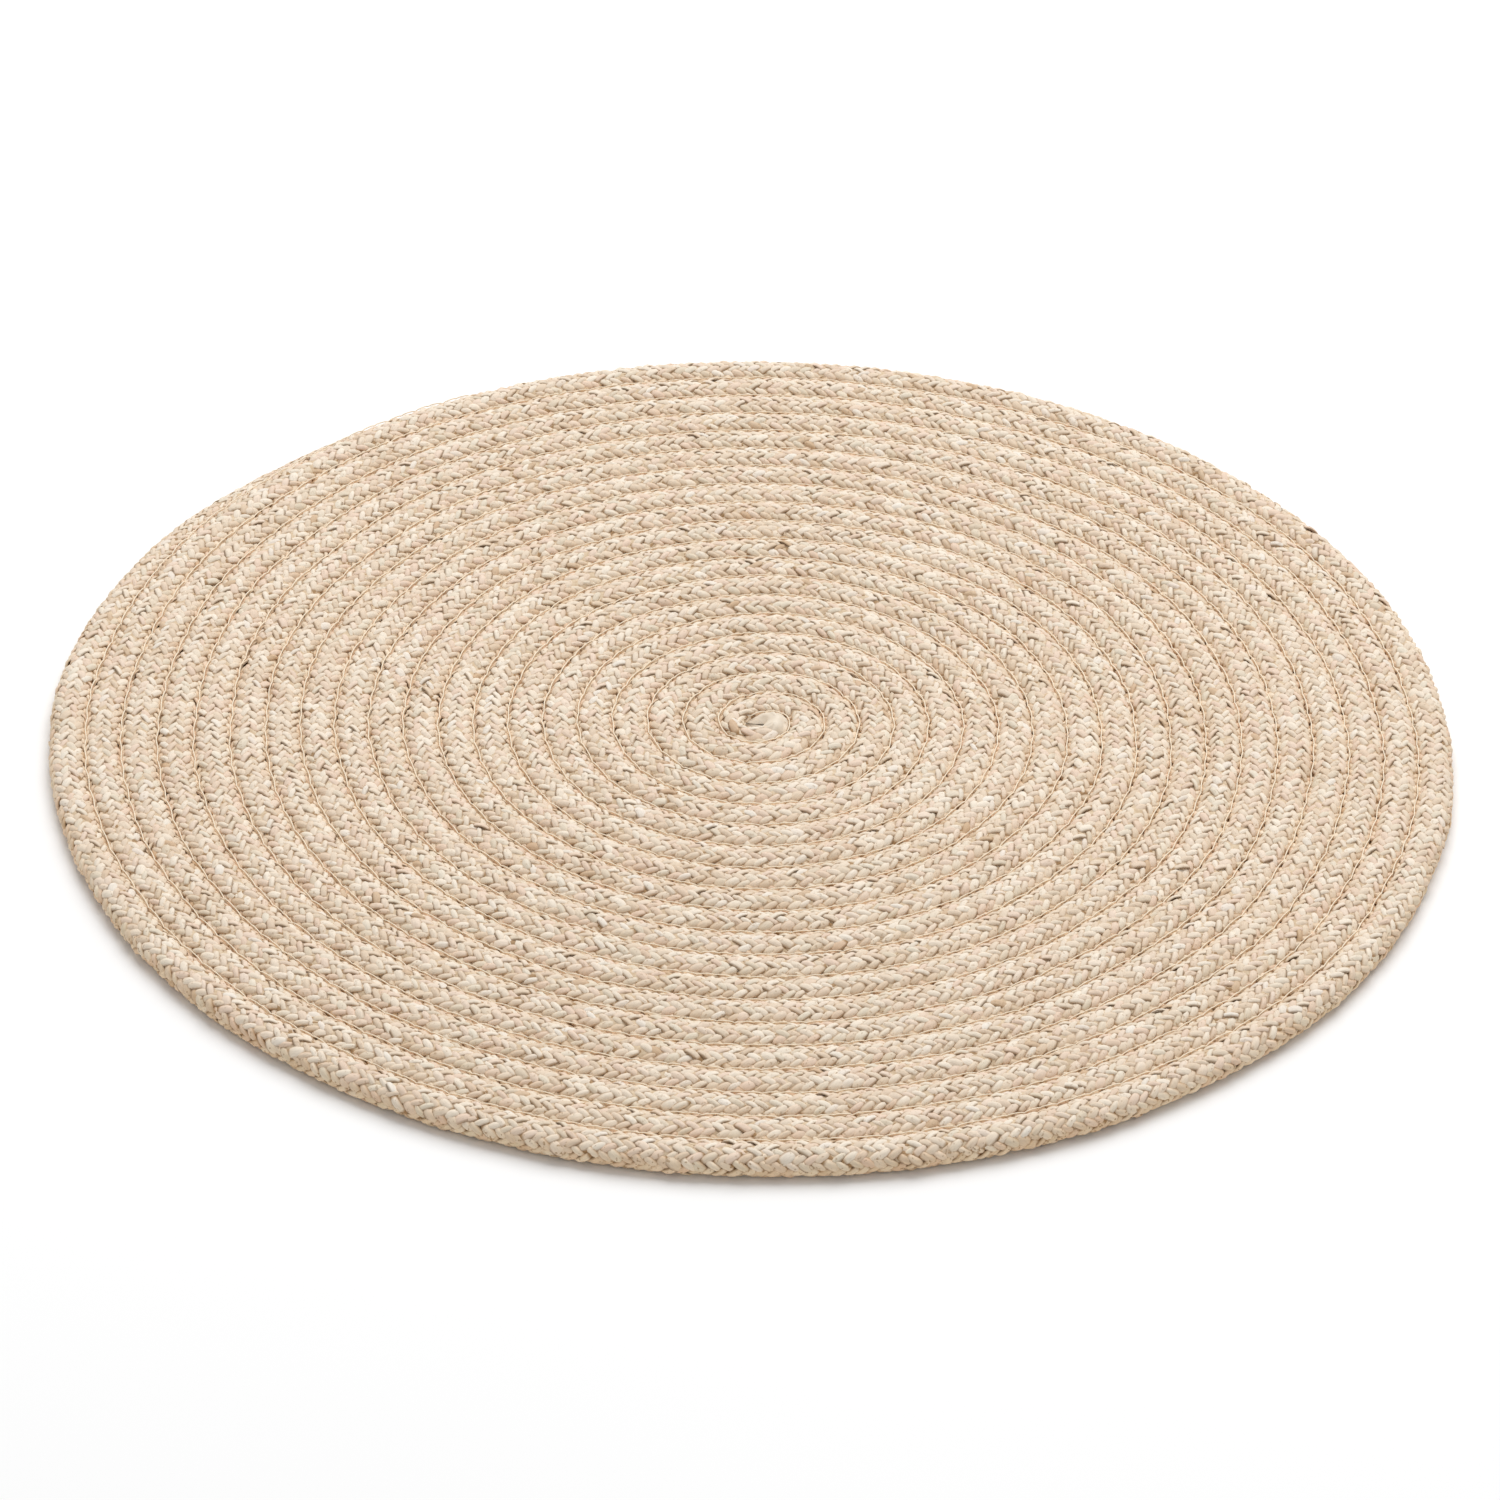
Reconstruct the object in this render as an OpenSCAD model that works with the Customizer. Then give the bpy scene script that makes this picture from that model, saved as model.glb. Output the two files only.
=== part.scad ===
// Round coiled rug: one tubular braid over a filler core, wound flat from the middle
// outwards and sewn to itself turn by turn with a thread on top and one underneath.
// Z = 0 is the floor, and X = Y = 0 is the middle of the rug's bounding box.

/* [Coil] */
// Distance from one turn of the coil to the next
pitch = 22.5; // [18:0.5:40]
// Whole turns of braid, before the last half turn
turns = 19; // [6:1:24]
// Gap that the sewing leaves between neighbouring turns
seam_gap = 0.3; // [0.2:0.05:0.6]

/* [Braid] */
// Height of the braid as it lies on the floor
braid_h = 17; // [9:0.5:20]
// Radius of the braid's rounded edges, as a share of its height
edge_share = 0.44; // [0.32:0.02:0.46]
// How far the braid's own weight flattens its underside
sole_cut = 0.4; // [0.2:0.1:1]
// Thickness of one braided tape
tape_t = 1.1; // [0.6:0.1:1.6]
// Clearance between the braided sheath and its filler
core_gap = 0.1; // [0.05:0.05:0.3]

/* [Ends] */
// Thickness of the tape folded over the coil's first end
fold_t = 0.9; // [0.5:0.1:1.5]
// Angle that the outer end takes to narrow
tail_angle = 62; // [30:2:72]
// Size of the outer end's tip, as a share of the full braid
tail_tip = 0.34; // [0.25:0.01:0.6]
// Turns of thread that bind the outer end's tip
wraps = 6; // [3:1:10]

/* [Thread] */
// Diameter of the sewing thread
thread_d = 1; // [0.5:0.1:1.2]

/* [Hidden] */

sheath_col = [0.90, 0.83, 0.72];
shade_col = [0.84, 0.76, 0.64];
fold_col = [0.94, 0.90, 0.82];
filler_col = [0.93, 0.91, 0.86];
thread_col = [0.76, 0.65, 0.48];

oval_fn = 64;                       // segments of a full circle in a braid's section
sweep_fn = 180;                     // segments of a full turn of the coil
braid_w = pitch - seam_gap;
edge_r = edge_share * braid_h;
wall_t = 2 * tape_t;                // two tapes lie on each other everywhere
last_half = 2 * turns;              // number of the outermost half turn
tail_rings = 25;                    // sections along the tail
tail_sides = 28;                    // points round each of them
thread_fn = 24;                     // segments round a thread
thread_gap = 0.2;                   // distance between two lengths of thread
wrap_step = 1.6;                    // distance between two turns of the whipping
wrap_clear = 0.35;                  // clearance between the tail and its whipping
tip_room = thread_d + 0.2;          // room for the whipping beside the last turn
overshoot = 2 * pitch;              // how far cutting shapes reach past what they cut
box_shift = [pitch / 4, pitch / 4, 0];

function turn_name(k) = str("braid_turn_", k < 10 ? "0" : "", k);

// Half turns alternate between two centres a half pitch apart, which makes a spiral
// without a kink. Even ones lie on the -Y side, and odd ones on the +Y side.
function half_centre(m) = [(m % 2 == 0 ? -1 : 1) * pitch / 4, 0, 0];
function half_radius(m) = (m + 1) * pitch / 2;

// Flat oval made of two edge arcs and two crown arcs that meet without a corner.
// w and h are its full width and height, and r is the radius of its edges.
function edge_x(w, r) = w / 2 - r;
function crown_drop(w, h, r) =
    (pow(edge_x(w, r), 2) - pow(h / 2 - r, 2)) / (h - 2 * r);
function crown_r(w, h, r) = h / 2 + crown_drop(w, h, r);
function crown_half(w, h, r) =
    edge_x(w, r) * crown_r(w, h, r) / (crown_r(w, h, r) - r);

module oval(w, h, r) {
    for (s = [-1, 1]) translate([s * edge_x(w, r), 0]) circle(r = r, $fn = oval_fn);
    intersection_for(s = [-1, 1]) {
        intersection() {
            translate([0, -s * crown_drop(w, h, r)])
                circle(r = crown_r(w, h, r), $fn = 3 * oval_fn);
            square([2 * crown_half(w, h, r), h + 1], center = true);
        }
    }
}

// The braid's section, standing on the floor line with its sole flattened. It is
// drawn smaller all round by inset.
module section(inset) {
    full_h = braid_h + sole_cut;
    intersection() {
        translate([0, full_h / 2 - sole_cut])
            oval(braid_w - 2 * inset, full_h - 2 * inset, edge_r - inset);
        translate([-pitch, inset]) square([2 * pitch, overshoot]);
    }
}

module sheath_section(inset) {
    difference() {
        section(inset);
        section(wall_t);
    }
}

// One half turn of a section whose middle runs at the given radius.
module sweep_half(m, radius) {
    translate(half_centre(m))
        rotate([0, 0, m % 2 == 0 ? 180 : 0])
            rotate_extrude(angle = 180, $fn = sweep_fn) translate([radius, 0]) children();
}

// The rounded end of a section: its outer half, turned about its own middle.
module round_end() {
    translate(half_centre(-1)) rotate_extrude(angle = 180, $fn = oval_fn)
        intersection() {
            children();
            translate([0, -overshoot]) square([overshoot, 2 * overshoot]);
        }
}

module start_fold() {
    color(fold_col) round_end() difference() {
        section(0);
        section(fold_t);
    }
}

module braid_start() {
    color(sheath_col) round_end() sheath_section(fold_t);
}

module braid_turn(k) {
    color(k % 2 == 0 ? sheath_col : shade_col)
        for (m = [2 * k - 2, 2 * k - 1])
            sweep_half(m, half_radius(m)) sheath_section(0);
}

module braid_last_half() {
    color(shade_col) sweep_half(last_half, half_radius(last_half)) sheath_section(0);
}

module filler_core() {
    color(filler_col) {
        round_end() section(wall_t + core_gap);
        for (m = [0 : last_half]) sweep_half(m, half_radius(m)) section(wall_t + core_gap);
    }
}

// Points of an oval of full width w and height h, from its +X end, counter-clockwise.
// The sole is flat where the oval would reach below the floor line.
function tail_point(w, h, cut, i) =
    let (a = 360 * (i + 0.5) / tail_sides, q = 0.86)
    [sign(cos(a)) * pow(abs(cos(a)), q) * w / 2,
     max(0, (1 + sign(sin(a)) * pow(abs(sin(a)), q)) * (h + cut) / 2 - cut)];

// Share of the full braid that is left at t, which runs from 0 to 1 along the tail.
function tail_share(t) = 1 - (1 - tail_tip) * (3 * t * t - 2 * t * t * t);

// The tail's inner edge keeps to the last turn but one, and leaves room for the
// whipping near its tip.
function tail_inner(t) = half_radius(last_half - 1) + pitch / 2 + seam_gap / 2 + tip_room * t * t;
function tail_mid(t) = tail_inner(t) + braid_w * tail_share(t) / 2;

module braid_tail() {
    start = 180;
    rings = [for (j = [0 : tail_rings - 1]) j / (tail_rings - 1)];
    points = [for (t = rings, i = [0 : tail_sides - 1])
        let (s = tail_share(t),
             p = tail_point(braid_w * s, braid_h * s, sole_cut * s, i),
             a = start - tail_angle * t,
             r = tail_mid(t) + p[0])
        [r * cos(a), r * sin(a), p[1]]];
    n = tail_sides;
    sides = [for (j = [0 : tail_rings - 2], i = [0 : n - 1])
        [j * n + i, j * n + (i + 1) % n, (j + 1) * n + (i + 1) % n, (j + 1) * n + i]];
    first = [for (i = [n - 1 : -1 : 0]) i];
    last = [for (i = [0 : n - 1]) (tail_rings - 1) * n + i];
    color(shade_col) translate(half_centre(last_half + 1))
        polyhedron(points, concat(sides, [first, last]), convexity = 4);
}

// Height of a thread that lies in the groove between two turns, touching both.
function thread_lift() =
    sqrt(pow(edge_r + thread_d / 2, 2) - pow(edge_r + seam_gap / 2, 2));

// A thread that follows the seam from the coil's start to the tail's tip, in lengths of
// half a turn. side is 1 for the groove on top and -1 for the one underneath.
module seam_thread(side) {
    z = (braid_h - sole_cut) / 2 + side * thread_lift();
    color(thread_col) {
        for (m = [-1 : last_half - 2]) thread_length(m, z, 180, 0);
        thread_length(last_half - 1, z, tail_angle, 180 - tail_angle);
    }
}

// One length of thread beyond the half turn m, short of its neighbours by thread_gap.
module thread_length(m, z, angle, from) {
    radius = half_radius(m) + pitch / 2;
    gap_angle = thread_gap / radius * 180 / PI;
    translate(half_centre(m)) rotate([0, 0, from + (m % 2 == 0 ? 180 : 0) + gap_angle / 2])
        rotate_extrude(angle = angle - gap_angle, $fn = sweep_fn)
            translate([radius, z]) circle(d = thread_d, $fn = thread_fn);
}

module needle_thread() { seam_thread(1); }

module looper_thread() { seam_thread(-1); }

// Separate rounds of thread close round the tail's tip.
module tail_whipping() {
    arc = PI * tail_mid(1) * tail_angle / 180;
    color(thread_col) translate(half_centre(last_half + 1))
        for (i = [0 : wraps - 1]) {
            t = 1 - (i + 1) * wrap_step / arc;
            s = tail_share(t);
            rotate([0, 0, 180 - tail_angle * t]) translate([tail_mid(t), 0, 0])
                rotate([90, 0, 0]) whipping_round(braid_w * s, braid_h * s);
        }
}

// One round of the whipping: a band that follows the tail's outline. It is open along
// the sole, where the tail rests on the floor.
module whipping_round(w, h) {
    inner = 2 * wrap_clear;
    outer = inner + 2 * thread_d;
    linear_extrude(height = thread_d, center = true) difference() {
        translate([0, -outer / 2])
            polygon([for (i = [0 : tail_sides - 1]) tail_point(w + outer, h + outer, 0, i)]);
        translate([0, -inner / 2])
            polygon([for (i = [0 : tail_sides - 1]) tail_point(w + inner, h + inner, 0, i)]);
        translate([-w, -h]) square([2 * w, h + thread_d / 2]);
    }
}

translate(box_shift) {
    start_fold();
    braid_start();
    for (k = [1 : turns]) braid_turn(k);
    braid_last_half();
    braid_tail();
    filler_core();
    needle_thread();
    looper_thread();
    tail_whipping();
}
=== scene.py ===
import math

import bpy
import numpy as np
from mathutils import Matrix, Vector


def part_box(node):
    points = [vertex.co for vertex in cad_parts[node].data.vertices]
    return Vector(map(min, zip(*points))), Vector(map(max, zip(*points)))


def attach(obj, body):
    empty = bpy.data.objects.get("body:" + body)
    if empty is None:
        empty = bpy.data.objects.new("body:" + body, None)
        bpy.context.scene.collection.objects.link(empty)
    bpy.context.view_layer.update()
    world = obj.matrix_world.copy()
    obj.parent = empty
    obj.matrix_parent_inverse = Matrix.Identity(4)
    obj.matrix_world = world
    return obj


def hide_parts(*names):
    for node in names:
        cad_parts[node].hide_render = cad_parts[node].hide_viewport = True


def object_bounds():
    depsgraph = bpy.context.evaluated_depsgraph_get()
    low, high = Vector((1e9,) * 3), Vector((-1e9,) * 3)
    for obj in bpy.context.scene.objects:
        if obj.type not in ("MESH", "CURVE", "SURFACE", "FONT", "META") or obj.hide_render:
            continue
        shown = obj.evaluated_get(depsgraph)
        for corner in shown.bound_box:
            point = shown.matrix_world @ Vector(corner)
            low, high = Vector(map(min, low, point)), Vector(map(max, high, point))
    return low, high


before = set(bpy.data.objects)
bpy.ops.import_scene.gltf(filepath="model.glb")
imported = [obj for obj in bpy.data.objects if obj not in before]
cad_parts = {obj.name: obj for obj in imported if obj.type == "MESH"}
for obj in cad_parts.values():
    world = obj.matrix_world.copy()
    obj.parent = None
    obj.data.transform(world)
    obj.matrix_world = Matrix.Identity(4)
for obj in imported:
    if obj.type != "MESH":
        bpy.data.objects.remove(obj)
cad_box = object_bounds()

MM = 0.001

# ---- The coil: what part.scad sets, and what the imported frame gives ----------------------

EDGE_SHARE = 0.44  # radius of the braid's rounded edges, as a share of its height
SOLE = 0.4 * MM  # how far the oval section is cut off at the floor
TAIL_ANGLE = math.radians(62)  # angle that the outer end takes to narrow
TAIL_TIP = 0.34  # size of the tail's tip, as a share of the full braid
TIP_ROOM = 1.2 * MM  # room for the whipping beside the last turn
WRAPS = 6  # rounds of the whipping
WRAP_STEP = 1.6 * MM

TURN_NODES = sorted(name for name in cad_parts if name.startswith("braid_turn_"))
BRAID_NODES = ["braid_start", *TURN_NODES, "braid_last_half", "braid_tail"]
LAST_HALF = 2 * len(TURN_NODES)  # number of the outermost half turn


def size_x(node):
    low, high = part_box(node)
    return high.x - low.x


PITCH = (size_x(TURN_NODES[-1]) - size_x(TURN_NODES[0])) / (2 * (len(TURN_NODES) - 1))
HEAD_LOW, HEAD_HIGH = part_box("start_fold")
HEAD = np.array([(HEAD_LOW.x + HEAD_HIGH.x) / 2, HEAD_LOW.y])  # middle of the braid's first end
BRAID_W = HEAD_HIGH.x - HEAD_LOW.x
BRAID_H = HEAD_HIGH.z
FULL_H = BRAID_H + SOLE
EDGE_R = EDGE_SHARE * BRAID_H


def length_before(count):
    """Length of the first half turns of a line whose radii grow by half a pitch each time."""
    return math.pi * PITCH / 4 * count * (count + 1)


def half_turns(s, first):
    """Number, centre, outward direction, radius and angle turned so far of the half turn at
    length s, along a line that starts at half turn number first. Even half turns lie on the
    near side and odd ones on the far side."""
    q = np.maximum(s, 0) * 4 / (math.pi * PITCH)
    count = np.floor((np.sqrt(1 + 4 * q) - 1) / 2)
    radius = (count + 1) * PITCH / 2
    turned = (np.maximum(s, 0) - length_before(count)) / radius
    odd = (count + first) % 2 == 1
    angle = np.where(odd, math.pi - turned, -turned)
    centre = HEAD - np.stack([np.where(odd, 0, PITCH / 2), np.zeros_like(radius)], -1)
    outward = np.stack([np.cos(angle), np.sin(angle)], -1)
    return count + first, centre, outward, radius, turned


BRAID_LENGTH = length_before(LAST_HALF + 1) + (LAST_HALF + 2) * PITCH / 2 * TAIL_ANGLE
SEAM_LENGTH = length_before(LAST_HALF) + (LAST_HALF + 1) * PITCH / 2 * TAIL_ANGLE


def tail_share(t):
    """Share of the full braid that is left at t, which runs from 0 to 1 along the tail."""
    return 1 - (1 - TAIL_TIP) * (3 * t * t - 2 * t**3)


def tail_middle(t):
    inner = LAST_HALF * PITCH / 2 + PITCH - BRAID_W / 2 + TIP_ROOM * t * t
    return inner + BRAID_W * tail_share(t) / 2


LEAST_END = 0.02  # keeps the size of the rounded first end above zero (squared share)


def braid(s):
    """Middle point, outward direction, radius and share of the full size at length s."""
    s = np.asarray(s, float)
    half, centre, outward, radius, turned = half_turns(s, 0)
    t = np.clip(turned / TAIL_ANGLE, 0, 1)
    in_tail = half > LAST_HALF
    radius = np.where(in_tail, tail_middle(t), radius)
    share = np.where(in_tail, tail_share(t), 1.0)
    point = centre + outward * radius[..., None]
    before = s < 0  # the first end runs straight for half a width, and is rounded
    point[before] = HEAD + np.stack([np.zeros(before.sum()), -s[before]], -1)
    outward[before] = (1, 0)
    share = np.where(before, np.sqrt(np.clip(1 - (2 * s / BRAID_W) ** 2, LEAST_END, 1)), share)
    return point, outward, radius, share


WANDER = ((0.31, 0.55), (0.17, 0.40), (0.09, 0.25))  # wavelengths in m, and swings in mm
HOLE_R = 6.2 * MM  # how far the first bend is pulled open round its middle
HOLE = HEAD - (PITCH / 2, 0)


def wander(xy):
    """The small sideways wander of the turns, the same for all that lies at one place, and
    the pull outwards that leaves a small hole in the first bend."""
    rng = np.random.default_rng(11)
    shift = np.zeros_like(xy)
    for wave, size in WANDER:
        for _ in range(2):
            heading, phase, push = rng.uniform(0, 2 * math.pi, 3)
            along = xy[..., 0] * math.cos(heading) + xy[..., 1] * math.sin(heading)
            swing = size * MM * np.sin(2 * math.pi * along / wave + phase)
            shift += swing[..., None] * np.array([math.cos(push), math.sin(push)])
    away = xy - HOLE
    far = np.linalg.norm(away, axis=-1, keepdims=True) + 1e-6
    return shift + away / far * HOLE_R * np.exp(-((far / (2 * HOLE_R)) ** 2))


def press(z, start=1.6 * MM):
    """Flattens what would reach the floor, without a crease."""
    return np.where(z < start, start * np.exp(np.minimum(z - start, 0) / start), z)


def place(point, outward, u, z):
    """World points at u outwards of the given plan points, and z above the floor."""
    xy = point + outward * np.asarray(u)[..., None]
    return np.concatenate([xy + wander(xy), np.asarray(z)[..., None]], -1)


# ---- The braid's section -----------------------------------------------------------------

EDGE_X = BRAID_W / 2 - EDGE_R
CROWN_DROP = (EDGE_X**2 - (FULL_H / 2 - EDGE_R) ** 2) / (FULL_H - 2 * EDGE_R)
CROWN_R = FULL_H / 2 + CROWN_DROP
CROWN_SLOPE = CROWN_DROP / math.hypot(CROWN_DROP, EDGE_X)  # where crown and edge arcs meet
MIDDLE_Z = FULL_H / 2 - SOLE
OVAL_POINTS = 1441  # points at which the way round the oval is measured


def oval_at(slope, inset):
    """Point and outward normal of the oval where its normal has the given angle."""
    normal = np.stack([np.cos(slope), np.sin(slope)], -1)
    on_crown = np.abs(normal[..., 1]) > CROWN_SLOPE
    side = np.sign(normal)
    centre = np.stack(
        [
            np.where(on_crown, 0, side[..., 0] * EDGE_X),
            np.where(on_crown, -side[..., 1] * CROWN_DROP, 0),
        ],
        -1,
    )
    radius = np.where(on_crown, CROWN_R, EDGE_R) - inset
    return centre + normal * radius[..., None], normal


def oval(around, inset):
    """The same at a share of the way round from the crown, towards the outer side."""
    slope = math.pi / 2 - np.linspace(0, 2 * math.pi, OVAL_POINTS)
    point, _ = oval_at(slope, inset)
    run = np.concatenate([[0], np.cumsum(np.hypot(*np.diff(point, axis=0).T))])
    return oval_at(np.interp(np.mod(around, 1), run / run[-1], slope), inset)


# ---- Mesh building -----------------------------------------------------------------------

BAKE_MAP = "OFBake"  # name of the map that lays each tube out
ROW_MARGIN = 0.04  # free strip at each side of a row of the map, as a share of its height


def unroll(count, sides, rows):
    """Corners of a map that lays a long tube out in rows, like lines of writing."""
    per_row = math.ceil((count - 1) / rows)
    i = np.arange(count - 1)[:, None]
    j = np.arange(sides)[None]
    u = np.stack([i % per_row, i % per_row, i % per_row + 1, i % per_row + 1], -1) / per_row
    v = np.stack([j, j + 1, j + 1, j], -1) / sides
    v = (i[..., None] // per_row + ROW_MARGIN + (1 - 2 * ROW_MARGIN) * v) / rows
    return np.stack([np.broadcast_to(u, v.shape), v], -1).reshape(-1, 2)


def tube(name, rings, rows=1, colour=None, lie=None):
    """A tube through rings of points, of shape (rings, sides, 3), with flat ends. colour and
    lie are per-point attributes for its material."""
    count, sides = rings.shape[:2]
    i = np.arange(count - 1)[:, None] * sides
    j = np.arange(sides)[None]
    k = (j + 1) % sides
    quads = np.stack([i + j, i + k, i + sides + k, i + sides + j], -1).reshape(-1, 4)
    ends = np.stack([np.arange(sides)[::-1], (count - 1) * sides + np.arange(sides)])
    corners = np.concatenate([quads.ravel(), ends.ravel()])
    starts = np.concatenate([np.arange(len(quads)) * 4, len(quads) * 4 + np.arange(2) * sides])
    mesh = bpy.data.meshes.new(name)
    mesh.vertices.add(count * sides)
    mesh.vertices.foreach_set("co", rings.astype(np.float32).ravel())
    mesh.loops.add(len(corners))
    mesh.loops.foreach_set("vertex_index", corners.astype(np.int32))
    mesh.polygons.add(len(starts))
    mesh.polygons.foreach_set("loop_start", starts.astype(np.int32))
    mesh.update(calc_edges=True)
    mesh.shade_smooth()
    uv = np.concatenate([unroll(count, sides, rows), np.zeros((2 * sides, 2))])
    mesh.uv_layers.new(name=BAKE_MAP).data.foreach_set("uv", uv.astype(np.float32).ravel())
    if colour is not None:
        layer = mesh.attributes.new("pick", "FLOAT_COLOR", "POINT")
        layer.data.foreach_set("color", colour.astype(np.float32).ravel())
    if lie is not None:
        layer = mesh.attributes.new("lie", "FLOAT_VECTOR", "POINT")
        layer.data.foreach_set("vector", lie.astype(np.float32).ravel())
    piece = bpy.data.objects.new(name, mesh)
    bpy.context.scene.collection.objects.link(piece)
    return piece


def along_of(path):
    along = np.gradient(path, axis=0)
    return along / np.linalg.norm(along, axis=1, keepdims=True)


def round_rings(path, side, over, radius, sides):
    """Rings for a round thread along path, in the directions side and over at each point."""
    angle = np.arange(sides) * 2 * math.pi / sides
    return (
        path[:, None]
        + side[:, None] * np.cos(angle)[None, :, None] * radius
        + over[:, None] * np.sin(angle)[None, :, None] * radius
    )


def declare(piece, slot, *nodes):
    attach(piece, "root")
    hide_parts(*nodes)


# ---- The braided tapes -------------------------------------------------------------------

TAPES = 12  # tapes that spiral each way
PICK = 0.32 * PITCH  # distance along the braid from one visible pick to the next
# Sections of a tape, as shares of the way from one pick to the next but one
STATIONS = np.array([0.015, 0.11, 0.25, 0.39, 0.485, 0.64, 0.86])
TAPE_W = 0.262 * PITCH
TAPE_T = 0.11 * PITCH
RISE = 0.042 * PITCH  # how far a tape swings either side of the sheath's middle
PROUD = 0.45 * MM  # how far the picks stand out of the plain section
SQUEEZE = 1.09  # the turns are sewn so close that their sides press into each other
TAPE_INSET = RISE + TAPE_T / 2 - PROUD
# Section of a tape: across as a share of its width, and up as a share of its thickness
TAPE_SECTION = np.array([(-0.5, -0.25), (-0.3, 0.24), (0, 0.5), (0.3, 0.24), (0.5, -0.25)])
TAPE_START = 1.5 * MM  # how far along the braid the tapes begin
HOLE_EDGE = 0.8 * MM  # nothing reaches nearer than this to the middle of the first bend
TAPE_ROWS = 53  # rows of a tape's map
# How much the picks differ: standard deviations, and the least and greatest width
STEP_SPREAD = 0.12
WIDTH_SPREAD, WIDTH_LEAST, WIDTH_MOST = 0.17, 0.8, 1.4
LIFT_SPREAD = 0.014 * PITCH
SLIP_SPREAD = 0.016 * PITCH
TILT_SPREAD = 0.18
CROWD_LEAST, CROWD_MOST = 0.25, 1.15  # room at a bend's inner and outer side


def held(values, where):
    """Each pick's own value while its tape is on top, sliding to the next one's below."""
    whole = np.floor(where + 0.25).astype(int)
    part = where + 0.25 - whole
    mix = np.clip((part - 0.8) / 0.2, 0, 1)
    mix = mix.reshape(mix.shape + (1,) * (values.ndim - 1))
    last = len(values) - 1
    return values[np.clip(whole, 0, last)] * (1 - mix) + values[np.clip(whole + 1, 0, last)] * mix


def tape(number, way):
    """One tape of the braid from end to end. way is 1 or -1, for how it spirals."""
    rng = np.random.default_rng(1000 * (way + 2) + number)
    lead = PICK * (number - (0 if way == 1 else 0.5))
    low = math.floor((TAPE_START - lead) / (2 * PICK))
    high = math.ceil((BRAID_LENGTH - lead) / (2 * PICK))
    where = (np.arange(low, high)[:, None] + STATIONS[None]).ravel()
    count = high - low + 2
    s = lead + 2 * PICK * where
    s = s + PICK * held(rng.normal(0, STEP_SPREAD, count), where - low)
    keep = (s > TAPE_START) & (s < BRAID_LENGTH)
    where, s = where[keep], s[keep]
    width = np.clip(rng.normal(1, WIDTH_SPREAD, count), WIDTH_LEAST, WIDTH_MOST)
    width = held(width, where - low)
    lift = held(rng.normal(0, LIFT_SPREAD, count), where - low)
    slip = held(rng.normal(0, SLIP_SPREAD, count), where - low)
    tilt = held(rng.normal(0, TILT_SPREAD, count), where - low)
    tone = held(rng.random((count, 3)), where - low)

    swing = np.sin(2 * math.pi * (where % 1))
    rise = RISE * swing * (0.85 + 0.15 * swing**2)
    section, normal = oval(way * (2 * where - 1) / TAPES, TAPE_INSET)
    middle, outward, radius, share = braid(s)
    u = share * (section[:, 0] * SQUEEZE + normal[:, 0] * (rise + lift))
    u = np.maximum(u, HOLE_EDGE - radius)
    z = share * (section[:, 1] + MIDDLE_Z + normal[:, 1] * (rise + lift))
    path = place(middle, outward, u, z)
    side = np.cross(along_of(path), np.concatenate([outward * normal[:, :1], normal[:, 1:]], -1))
    side /= np.linalg.norm(side, axis=1, keepdims=True)
    over = np.cross(side, along_of(path))
    path = path + side * (slip * share)[:, None]

    crowd = np.clip((radius + u) / radius, CROWD_LEAST, CROWD_MOST)
    wide = TAPE_W * width * share * (0.3 + 0.7 * crowd) * (0.86 + 0.14 * swing)
    thick = TAPE_T * share * (1 + 0.12 * swing)
    across = TAPE_SECTION[None, :, 0] * wide[:, None]
    upward = TAPE_SECTION[None, :, 1] * thick[:, None]
    x = across * np.cos(tilt)[:, None] - upward * np.sin(tilt)[:, None]
    y = across * np.sin(tilt)[:, None] + upward * np.cos(tilt)[:, None]
    rings = path[:, None] + side[:, None] * x[..., None] + over[:, None] * y[..., None]
    rings[..., 2] = press(rings[..., 2])

    # The colour's alpha carries the height in the section, which the material uses for painted shade
    # low on the turns.
    colour = np.concatenate([tone, z[:, None] / (share[:, None] * BRAID_H)], -1)
    own = np.full(across.shape, 17.3 * number + 5.1 * way)  # so that no two tapes look alike
    edge = np.broadcast_to(2 * TAPE_SECTION[None, :, 0], across.shape)
    lie = np.stack([edge, np.broadcast_to(where[:, None], across.shape), own], -1)
    piece = tube(
        f"tape_{'left' if way < 0 else 'right'}_{number + 1:02d}",
        rings,
        rows=TAPE_ROWS,
        colour=np.repeat(colour[:, None], len(TAPE_SECTION), 1),
        lie=lie,
    )
    declare(piece, "braid_tape", *BRAID_NODES)
    return piece


# ---- Filler, threads, fold and whipping --------------------------------------------------

FILLER_INSET = 1.0 * MM
FILLER_EDGE = 1.5 * MM  # the filler's own distance from the middle of the first bend
FILLER_STEP = 5 * MM
FILLER_SIDES = 14
FILLER_ROWS = 20
FILLER_START = -0.3 * BRAID_W
FILLER_SHORT = 2 * MM  # how far it ends before the tail's tip


def filler():
    """The loose fibre core, which fills the braid from end to end."""
    s = np.arange(FILLER_START, BRAID_LENGTH - FILLER_SHORT, FILLER_STEP)
    section, _ = oval(np.arange(FILLER_SIDES) / FILLER_SIDES, FILLER_INSET)
    middle, outward, radius, share = braid(s)
    u = np.maximum(share[:, None] * section[None, :, 0], FILLER_EDGE - radius[:, None])
    z = share[:, None] * (section[None, :, 1] + MIDDLE_Z)
    rings = place(middle[:, None], outward[:, None], u, z)
    piece = tube("filler", rings, rows=FILLER_ROWS)
    declare(piece, "filler", "filler_core")
    return piece


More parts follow.
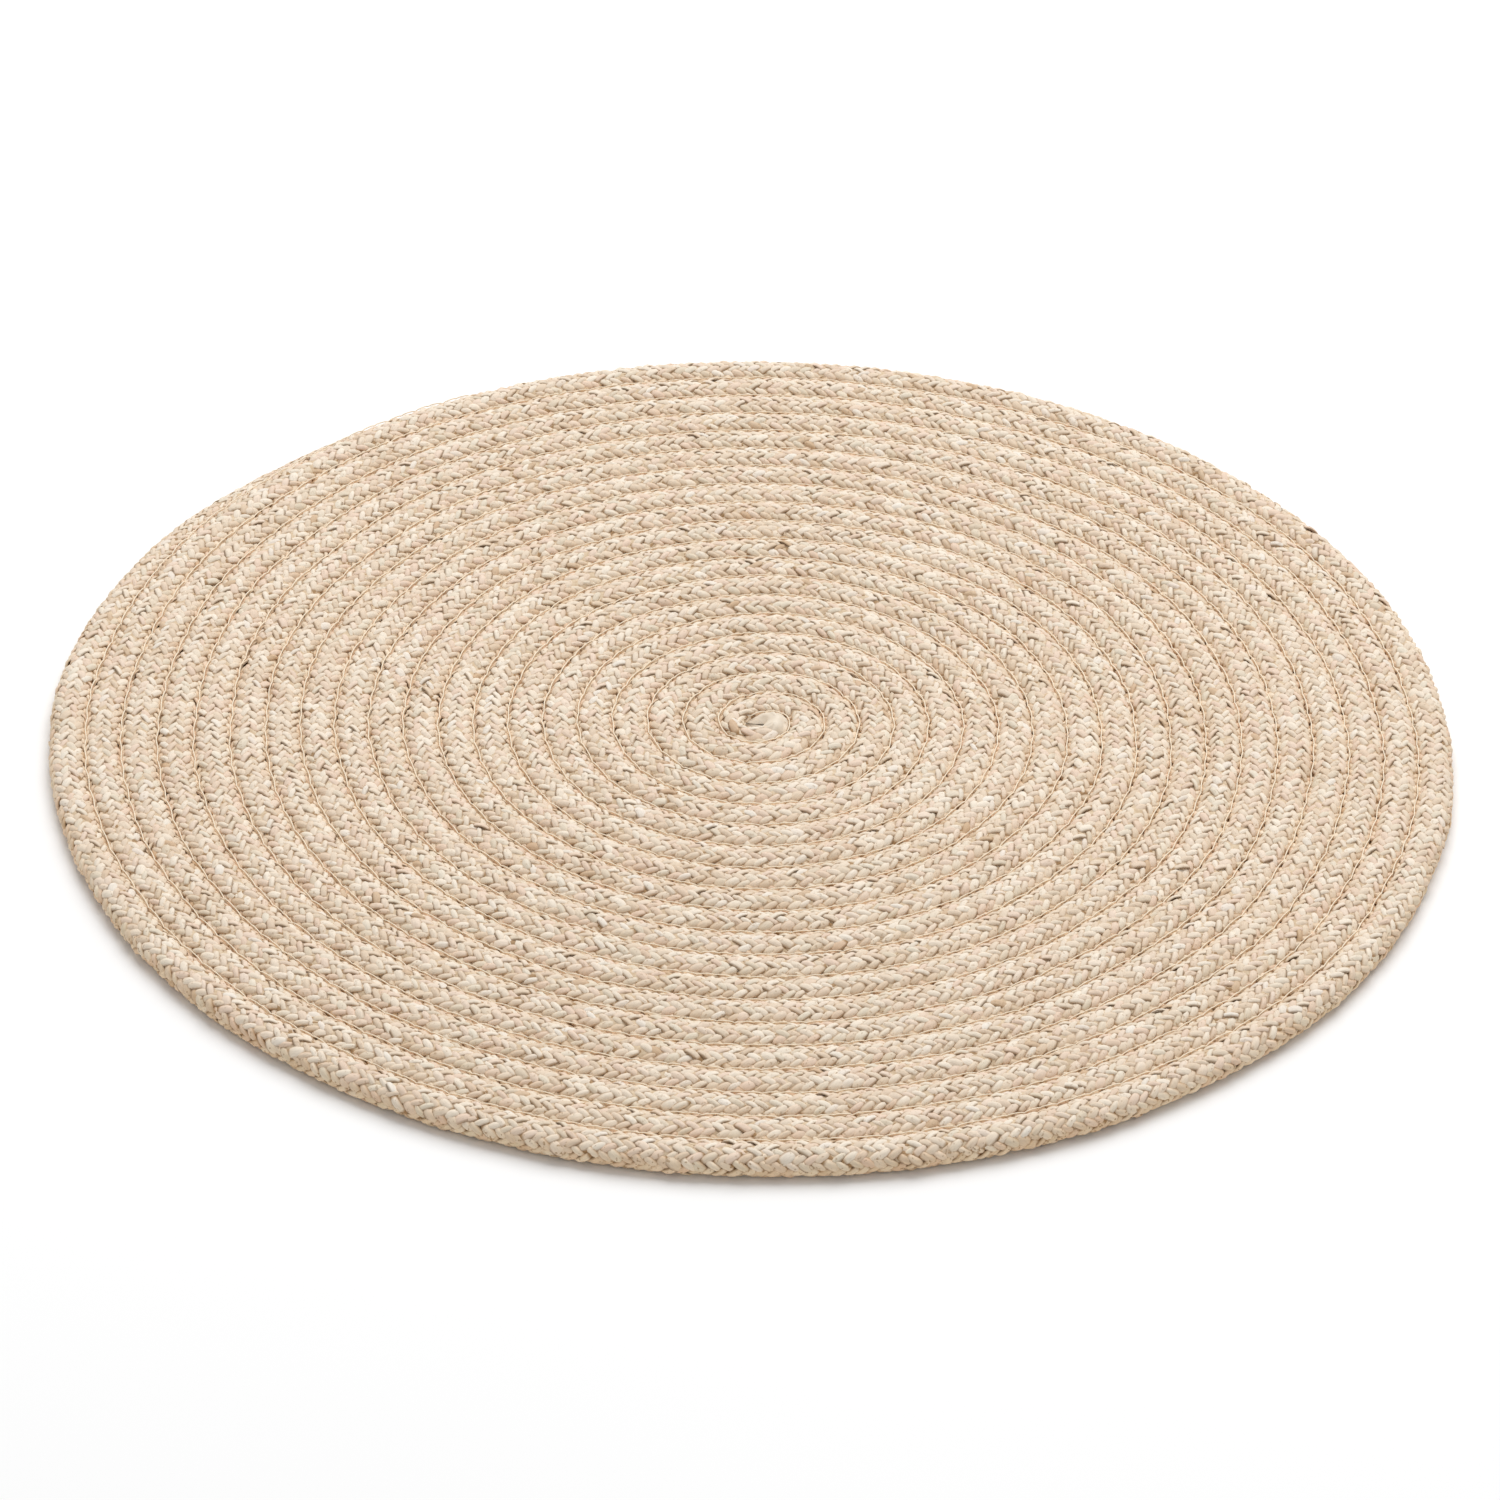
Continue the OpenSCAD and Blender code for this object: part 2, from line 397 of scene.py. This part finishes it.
THREAD_R = 0.44 * MM
STITCH = 11 * MM
STITCH_REACH = 0.55 * MM  # how far the zigzag goes to each side of the seam
STITCH_DIP = 0.9 * MM  # how far the thread sinks where the needle went in
SEAM_START = 1 * MM
SEAM_ROWS = 60
SEAM_LIFT_SPREAD = 0.2 * MM  # standard deviation of the thread's height
SEAM_SIDES = 5
TOP_THREAD_Z = MIDDLE_Z + 0.325 * BRAID_H
LOW_THREAD_Z = MIDDLE_Z - 0.24 * BRAID_H


def seam(name, node, lift, steps, sign):
    """Zigzag thread in the groove along the whole seam, with steps points for each stitch.
    sign is 1 on top and -1 underneath."""
    rng = np.random.default_rng(5 if sign > 0 else 6)
    count = int(SEAM_LENGTH / STITCH)
    where = np.arange(count * steps) / steps
    s = where * STITCH + SEAM_START
    _, centre, outward, radius, _ = half_turns(s, -1)
    reach = STITCH_REACH * rng.uniform(0.6, 1.3, count + 2)
    turn = np.where(np.arange(count + 2) % 2 == 0, 1, -1) * reach
    whole = np.floor(where).astype(int)
    part = where - whole
    u = turn[whole] * (1 - part) + turn[whole + 1] * part
    height = rng.normal(0, SEAM_LIFT_SPREAD, count + 2)
    dip = STITCH_DIP * (1 - np.sin(math.pi * part)) ** 2
    z = lift + height[whole] * (1 - part) + height[whole + 1] * part - sign * dip
    path = place(centre + outward * radius[:, None], outward, u, z)
    side = np.cross(along_of(path), (0, 0, 1))
    side /= np.linalg.norm(side, axis=1, keepdims=True)
    over = np.cross(side, along_of(path))
    piece = tube(name, round_rings(path, side, over, THREAD_R, SEAM_SIDES), rows=SEAM_ROWS)
    declare(piece, "sewing_thread", node)
    return piece


FOLD_REACH = BRAID_W / 2
FOLD_LENGTH = 5 * MM  # how far the fold follows the braid before it ends in a half round
FOLD_PROUD = 1.5 * MM  # how far it stands out of the braid's plain section
FOLD_NARROW = 0.13  # how much less its half rounds reach, as a share
FOLD_TIP = 0.93 * math.pi  # where it is drawn out to a tip, towards the hole
FOLD_TIP_SPREAD = 0.5
FOLD_TIP_REACH = 0.08  # how much further the tip reaches, as a share
FOLD_UNDER = -0.38 * math.pi  # how far it goes down and round the braid's edge
FOLD_RINGS = 22
FOLD_BEND_POINTS = 36  # points of each half round of its outline
FOLD_SIDE_POINTS = 5  # points of each long side, with its two ends


def fold():
    """The smooth tape folded over the braid's first end: a low, long dome."""
    turn = np.linspace(0, math.pi, FOLD_BEND_POINTS)
    walk = np.linspace(0, 1, FOLD_SIDE_POINTS)[1:-1]
    level = np.full(len(walk), math.pi)
    theta = np.concatenate([turn, level, math.pi + turn, 2 * level])
    share = np.concatenate([0 * turn, walk, 1 + 0 * turn, walk[::-1]])
    middle, outward, _, _ = braid(share * FOLD_LENGTH)
    back = np.stack([-outward[:, 1], outward[:, 0]], -1)
    ray = outward * np.cos(theta)[:, None] + back * np.sin(theta)[:, None]
    tip = np.exp(-(((theta - FOLD_TIP) / FOLD_TIP_SPREAD) ** 2))
    reach = FOLD_REACH * (1 - FOLD_NARROW * np.sin(theta) ** 2 + FOLD_TIP_REACH * tip)

    slope = np.linspace(0.5 * math.pi, FOLD_UNDER, FOLD_RINGS)
    profile, _ = oval_at(slope, -FOLD_PROUD)
    profile[0, 0] = 0.02 * profile[1, 0]
    rho = (profile[:, 0] / profile[:, 0].max())[:, None]
    # Two sets of shallow creases, one strongest halfway out and one at the edge
    crease = 0.35 * MM * np.sin(5 * theta + 7 * rho) * np.sin(math.pi * rho)
    crease += 0.25 * MM * np.sin(11 * theta - 9 * rho) * rho**2
    xy = middle + (rho * reach)[..., None] * ray
    z = profile[:, 1:] + MIDDLE_Z + crease
    rings = np.concatenate([xy + wander(xy), press(z)[..., None]], -1)
    piece = tube("fold", rings[:, ::-1])
    declare(piece, "fold_tape", "start_fold")
    return piece


WRAP_POINTS = 28  # points for each round of the whipping
WRAP_PROUD = 0.7 * MM  # how far the thread's middle stands out of the braid
WRAP_SIDES = 8


def whipping():
    """Rounds of thread that bind the tail's tip."""
    where = np.arange(WRAPS * WRAP_POINTS) / WRAP_POINTS
    s = BRAID_LENGTH - WRAP_STEP * (where + 1)
    section, normal = oval(where, 0)
    middle, outward, _, share = braid(s)
    u = share * section[:, 0] + normal[:, 0] * WRAP_PROUD
    z = share * (section[:, 1] + MIDDLE_Z) + normal[:, 1] * WRAP_PROUD
    path = place(middle, outward, u, np.maximum(z, THREAD_R))
    out = np.concatenate([outward * normal[:, :1], normal[:, 1:]], -1)
    side = np.cross(along_of(path), out)
    piece = tube("whipping", round_rings(path, side, out, THREAD_R, WRAP_SIDES))
    declare(piece, "sewing_thread", "tail_whipping")
    return piece


# ---- Materials ---------------------------------------------------------------------------


class Nodes:
    """Short forms for building a material's nodes."""

    def __init__(self, name):
        self.material = bpy.data.materials.new(name)
        self.material.use_nodes = True
        self.tree = self.material.node_tree
        self.shader = self.tree.nodes["Principled BSDF"]

    def put(self, value, socket):
        if isinstance(value, bpy.types.NodeSocket):
            self.tree.links.new(value, socket)
        else:
            socket.default_value = value

    def add(self, kind, inputs=(), **settings):
        node = self.tree.nodes.new(kind)
        for key, value in settings.items():
            setattr(node, key, value)
        for key, value in dict(inputs).items():
            self.put(value, node.inputs[key])
        return node

    def maths(self, operation, a, b=0.0):
        return self.add("ShaderNodeMath", {0: a, 1: b}, operation=operation).outputs[0]

    def spread(self, value, low, high, to_low=0.0, to_high=1.0):
        ends = {"Value": value, "From Min": low, "From Max": high, "To Min": to_low, "To Max": to_high}
        return self.add("ShaderNodeMapRange", ends).outputs["Result"]

    def blend(self, factor, a, b):
        node = self.add("ShaderNodeMix", {0: factor, 6: a, 7: b}, data_type="RGBA")
        return node.outputs[2]

    def noise(self, where, scale, detail=2.0, rough=0.5):
        inputs = {"Vector": where, "Scale": scale, "Detail": detail, "Roughness": rough}
        return self.add("ShaderNodeTexNoise", inputs).outputs["Fac"]

    def times(self, where, scale):
        return self.add("ShaderNodeVectorMath", {0: where, 1: scale}, operation="MULTIPLY").outputs[0]

    def bump(self, height, strength, distance):
        inputs = {"Height": height, "Strength": strength, "Distance": distance}
        self.put(self.add("ShaderNodeBump", inputs).outputs[0], self.shader.inputs["Normal"])


def rgb(red, green, blue):
    return (red, green, blue, 1.0)


def tape_material():
    """Soft cream tape: each pick has a tone and a hue of its own, and fine fibres along it, with shade
    painted into slits, edges, under-runs and lower sides.
    """
    n = Nodes("braid_tape")
    pick = n.add("ShaderNodeAttribute", attribute_name="pick")
    lie = n.add("ShaderNodeAttribute", attribute_name="lie").outputs["Vector"]
    where = n.add("ShaderNodeTexCoord").outputs["Object"]
    channel = n.add("ShaderNodeSeparateColor", {"Color": pick.outputs["Color"]})
    shade, hue, rare = channel.outputs[0], channel.outputs[1], channel.outputs[2]

    patch = n.noise(where, 14.0, 3.0)
    light = n.maths("ADD", n.maths("MULTIPLY", shade, 0.8), n.maths("MULTIPLY", patch, 0.4))
    base = n.blend(n.spread(light, 0.1, 1.0), rgb(0.750, 0.590, 0.435), rgb(0.910, 0.810, 0.680))
    pink = n.blend(n.spread(hue, 0.66, 1.0, 0.0, 0.8), base, rgb(0.82, 0.63, 0.50))
    grey = n.blend(n.spread(hue, 0.20, 0.0, 0.0, 0.5), pink, rgb(0.74, 0.67, 0.53))
    tan = n.blend(n.spread(rare, 0.975, 0.995, 0.0, 0.7), grey, rgb(0.60, 0.40, 0.23))
    pale = n.blend(n.spread(rare, 0.06, 0.02, 0.0, 0.6), tan, rgb(0.90, 0.84, 0.76))

    fibre = n.noise(n.times(lie, (2.5, 2.0, 1.0)), 3.2, 3.0, 0.6)
    crumple = n.noise(n.times(lie, (1.6, 6.0, 1.0)), 0.9, 2.0)
    across, along, _ = n.add("ShaderNodeSeparateXYZ", {0: lie}).outputs
    height = pick.outputs["Alpha"]
    # Painted shade: dark slits between picks, drawn more strongly lower on each turn's section.
    deep = n.spread(height, 0.95, 0.6, 0.3, 0.8)
    slit_shade_noise = n.spread(n.noise(n.times(lie, (1.3, 7.0, 1.0)), 1.1, 1.0), 0.64, 0.72)
    slit_shade = n.maths("MULTIPLY", slit_shade_noise, deep)
    # Painted shade along each tape's edges, in the crevices between picks.
    edge_shade = n.spread(n.maths("ABSOLUTE", across), 0.62, 0.98, 0.0, 0.75)
    swing = n.maths("SINE", n.maths("MULTIPLY", along, 2 * math.pi))
    under = n.spread(swing, 0.25, -0.35, 0.0, 0.95)  # painted shade where the tape runs below the others
    # The painted shades together darken the colour towards a shadow brown.
    shadow = n.maths("MAXIMUM", under, n.maths("MAXIMUM", slit_shade, edge_shade))
    painted_shade = n.blend(shadow, pale, rgb(0.38, 0.23, 0.11))
    # Painted shade: the lower part of each turn's section is tinted warmer and darker.
    low_shade_tint = n.times(painted_shade, n.blend(n.spread(height, 0.4, 0.9), rgb(1.0, 0.89, 0.73), rgb(1, 1, 1)))
    n.put(n.times(low_shade_tint, n.spread(fibre, 0.3, 0.7, 0.90, 1.06)), n.shader.inputs["Base Color"])
    n.put(n.spread(fibre, 0.3, 0.7, 0.72, 0.55), n.shader.inputs["Roughness"])
    n.bump(n.maths("ADD", n.maths("MULTIPLY", fibre, 0.35), crumple), 0.5, 0.6 * MM)
    n.shader.inputs["Sheen Weight"].default_value = 0.08
    n.shader.inputs["Specular IOR Level"].default_value = 0.22
    return n.material


def mottled_material(name, light, dark, scale, rough):
    """A plain fibre surface with soft mottling."""
    n = Nodes(name)
    mottle = n.noise(n.add("ShaderNodeTexCoord").outputs["Object"], scale, 4.0)
    n.put(n.blend(n.spread(mottle, 0.3, 0.7), dark, light), n.shader.inputs["Base Color"])
    n.put(n.spread(mottle, 0.3, 0.7, rough, rough - 0.15), n.shader.inputs["Roughness"])
    n.bump(mottle, 0.4, 0.4 * MM)
    return n.material


# ---- Floor, light and camera -------------------------------------------------------------

FLOOR_REACH = 12.0
SKY_STRENGTH = 0.50
KEY_AT = (0.6, 2.5, 5.0)
KEY_SIZE = 5.2
KEY_WATTS = 285


def floor():
    n = Nodes("floor")
    cloud = n.noise(n.add("ShaderNodeTexCoord").outputs["Object"], 3.0)
    n.put(n.blend(cloud, rgb(0.94, 0.94, 0.94), rgb(0.95, 0.95, 0.95)), n.shader.inputs["Base Color"])
    n.shader.inputs["Roughness"].default_value = 0.8
    n.shader.inputs["Specular IOR Level"].default_value = 0.1
    mesh = bpy.data.meshes.new("floor")
    corners = [(x * FLOOR_REACH, y * FLOOR_REACH, 0) for x, y in ((-1, -1), (1, -1), (1, 1), (-1, 1))]
    mesh.from_pydata(corners, [], [(0, 1, 2, 3)])
    mesh.materials.append(n.material)
    piece = bpy.data.objects.new("floor", mesh)
    bpy.context.scene.collection.objects.link(piece)


def area_light(name, place_at, size, watts):
    data = bpy.data.lights.new(name, "AREA")
    data.size = size
    data.energy = watts
    light = bpy.data.objects.new(name, data)
    bpy.context.scene.collection.objects.link(light)
    light.location = place_at
    light.rotation_mode = "QUATERNION"
    light.rotation_quaternion = (-Vector(place_at)).to_track_quat("-Z", "Y")


def lighting():
    world = bpy.data.worlds.new("studio")
    bpy.context.scene.world = world
    world.use_nodes = True
    sky = world.node_tree.nodes["Background"]
    sky.inputs["Color"].default_value = (1, 1, 1, 1)
    sky.inputs["Strength"].default_value = SKY_STRENGTH
    area_light("key", KEY_AT, KEY_SIZE, KEY_WATTS)
    bpy.context.scene.view_settings.view_transform = "Standard"


CAMERA_LENS = 150.6  # mm, on a 36 mm sensor
CAMERA_DISTANCE = 9.0  # from the rug's middle, in rug radii
CAMERA_ELEVATION = math.radians(35.46)
CAMERA_AIM = (-0.00106, 0.00042)  # small tilt and pan away from the rug's middle
CAMERA_ROLL = math.radians(-1.65)


def camera():
    data = bpy.data.cameras.new("camera")
    data.sensor_width = 36
    data.lens = CAMERA_LENS
    data.clip_start = 0.05
    data.clip_end = 60
    rug_radius = (cad_box[1].x - cad_box[0].x) / 2
    ahead = Vector((0, math.cos(CAMERA_ELEVATION), -math.sin(CAMERA_ELEVATION)))
    place_at = -ahead * CAMERA_DISTANCE * rug_radius
    right = Vector((1, 0, 0))
    up = right.cross(ahead)
    tilt = Matrix.Rotation(CAMERA_AIM[0], 3, right)
    ahead, up = tilt @ ahead, tilt @ up
    pan = Matrix.Rotation(CAMERA_AIM[1], 3, up)
    ahead, right = pan @ ahead, pan @ right
    roll = Matrix.Rotation(CAMERA_ROLL, 3, ahead)
    right, up = roll @ right, roll @ up
    eye = bpy.data.objects.new("camera", data)
    bpy.context.scene.collection.objects.link(eye)
    turn = Matrix((right, up, -ahead)).transposed().to_4x4()
    eye.matrix_world = Matrix.Translation(place_at) @ turn
    bpy.context.scene.camera = eye


# ---- The rug -----------------------------------------------------------------------------

camera()
lighting()
floor()

cover = tape_material()
for way in (1, -1):
    for number in range(TAPES):
        tape(number, way).data.materials.append(cover)

thread = mottled_material("sewing_thread", rgb(0.96, 0.85, 0.69), rgb(0.89, 0.75, 0.57), 900.0, 0.75)
for piece in (
    seam("needle_stitches", "needle_thread", TOP_THREAD_Z, 6, 1),
    seam("looper_stitches", "looper_thread", LOW_THREAD_Z, 4, -1),
    whipping(),
):
    piece.data.materials.append(thread)
fold().data.materials.append(
    mottled_material("fold_tape", rgb(0.84, 0.74, 0.61), rgb(0.76, 0.64, 0.50), 160.0, 0.65)
)
filler().data.materials.append(
    mottled_material("filler", rgb(0.74, 0.60, 0.43), rgb(0.58, 0.43, 0.28), 400.0, 0.95)
)
